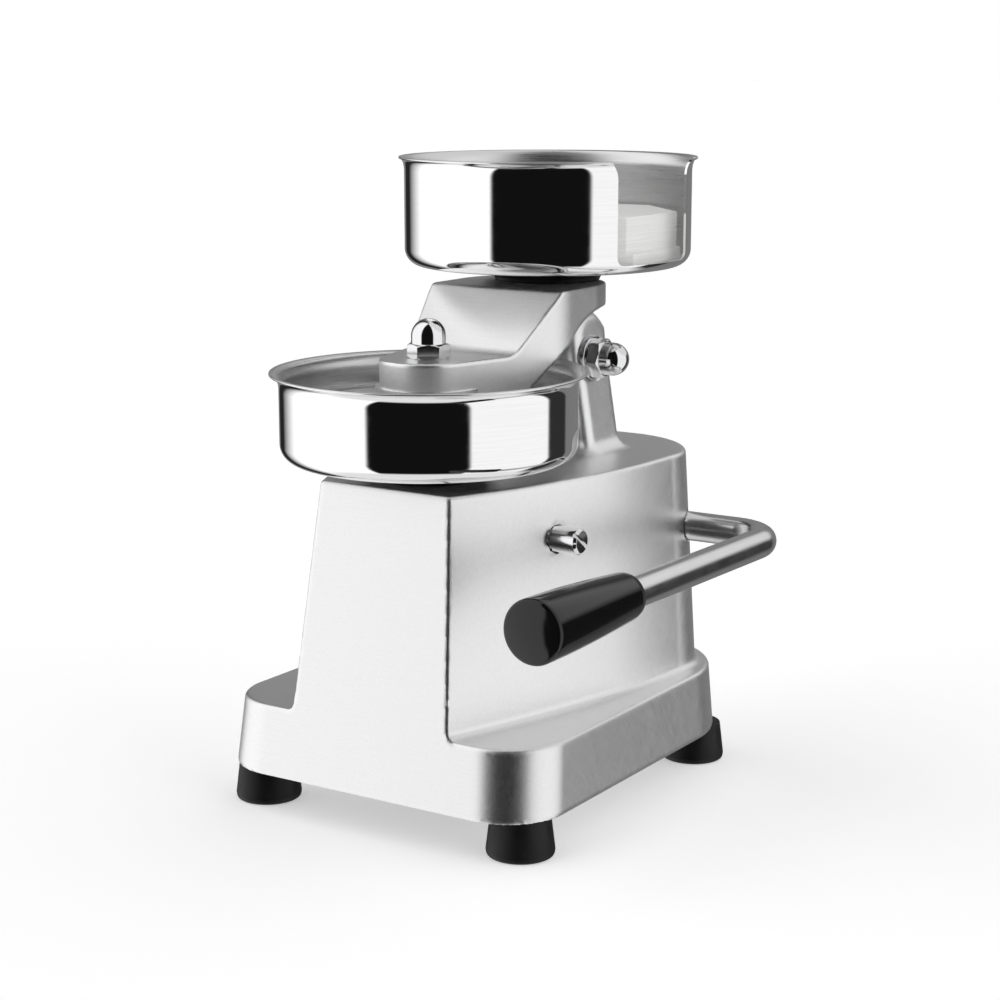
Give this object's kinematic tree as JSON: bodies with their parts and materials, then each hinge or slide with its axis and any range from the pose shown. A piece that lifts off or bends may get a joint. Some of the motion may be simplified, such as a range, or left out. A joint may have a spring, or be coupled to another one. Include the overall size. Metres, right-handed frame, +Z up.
{
  "type": "patty forming press",
  "caption": "Hand-operated patty press: a side lever tilts a press arm off a round mould and lifts its ejector plate; a notched paper tray rides on the arm.",
  "frame": {"origin": "on the floor plane under the feet, at the centre of the press's overall box", "axes": "+Z up; +Y from the operator towards the pivot column and the paper tray's side; +X towards the side handle"},
  "size_m": [0.2144, 0.2715, 0.2923],
  "materials": {
    "cast_aluminium": "satin, finely brushed casting",
    "polished_steel": "mirror polished outside, turned brushing inside",
    "satin_steel": "satin polished bar",
    "chrome_fastener": "bright plated",
    "plated_steel": "bright zinc plated",
    "link_steel": "oiled mild steel",
    "bronze": "sintered bearing bronze",
    "seat_plastic": "black moulded plastic",
    "grip_plastic": "glossy black thermoset",
    "foot_rubber": "black rubber",
    "paper": "stacked waxed paper"
  },
  "bodies": {
    "base": {"body_casting": "cast_aluminium", "mould_bowl": "polished_steel", "mould_seat": "seat_plastic", "ejector_guide_bush": "bronze", "guide_bush_nut": "plated_steel", "front_left_foot": "foot_rubber", "front_right_foot": "foot_rubber", "rear_left_foot": "foot_rubber", "rear_right_foot": "foot_rubber", "foot_screws": "plated_steel", "foot_washers": "plated_steel", "arm_pivot_shaft": "plated_steel", "arm_pivot_washers": "chrome_fastener", "arm_pivot_cap_nuts": "chrome_fastener", "rocker_pivot_pin": "chrome_fastener", "rocker_spacers": "plated_steel", "handle_shaft_bushes": "bronze"},
    "arm": {"press_arm": "cast_aluminium", "arm_pivot_bush": "bronze", "arm_link_pin": "plated_steel", "press_plate": "polished_steel", "press_plate_hub": "cast_aluminium", "press_plate_stud": "plated_steel", "press_plate_cap_nut": "chrome_fastener", "tray_bowl": "polished_steel", "tray_seat": "seat_plastic", "tray_screw": "plated_steel"},
    "paper": {"lower_paper_pack": "paper", "upper_paper_pack": "paper"},
    "handle": {"handle_bar": "satin_steel", "handle_grip": "grip_plastic", "drive_crank": "link_steel", "crank_cross_pin": "plated_steel", "crank_link_pins": "plated_steel", "shaft_collar": "plated_steel", "collar_set_screw": "link_steel"},
    "connecting_rod": {"connecting_rod": "link_steel"},
    "drag_link": {"drag_link": "link_steel"},
    "rocker": {"ejector_rocker": "link_steel", "rocker_link_pin": "plated_steel"},
    "ejector": {"ejector_plate": "polished_steel", "ejector_rod": "plated_steel", "ejector_plate_screw": "plated_steel"}
  },
  "joints": [
    {"name": "handle_lift", "type": "hinge", "parent": "base", "child": "handle", "pos_m": [-0.02125, 0.0833, 0.1175], "axis": [-1, 0, 0], "range_deg": [0, 65]},
    {"name": "arm_tilt", "type": "hinge", "parent": "base", "child": "arm", "pos_m": [-0.02125, 0.0588, 0.1988], "axis": [-1, 0, 0], "range_deg": [0, 65]},
    {"name": "connecting_rod_swing", "type": "hinge", "parent": "handle", "child": "connecting_rod", "pos_m": [-0.02125, 0.09511, 0.13109], "axis": [-1, 0, 0], "range_deg": [-65, 0]},
    {"name": "drag_link_swing", "type": "hinge", "parent": "handle", "child": "drag_link", "pos_m": [-0.02125, 0.09091, 0.10119], "axis": [-1, 0, 0], "range_deg": [-65, 0]},
    {"name": "rocker_tilt", "type": "hinge", "parent": "base", "child": "rocker", "pos_m": [-0.02125, -0.0175, 0.1285], "axis": [-1, 0, 0], "range_deg": [0, 65]},
    {"name": "ejector_lift", "type": "slide", "parent": "base", "child": "ejector", "axis": [0, 0, 1], "range_m": [0, 0.01936]},
    {"name": "paper_lift", "type": "slide", "parent": "arm", "child": "paper", "axis": [0, 0, 1], "range_m": [0, 0.055]}
  ],
  "couplings": [
    {"joint": "arm_tilt", "follows": "handle_lift", "ratio": 1},
    {"joint": "connecting_rod_swing", "follows": "handle_lift", "ratio": -1},
    {"joint": "drag_link_swing", "follows": "handle_lift", "ratio": -1},
    {"joint": "rocker_tilt", "follows": "handle_lift", "ratio": 1},
    {"joint": "ejector_lift", "follows": "handle_lift", "m_per_rad": 0.01705}
  ]
}
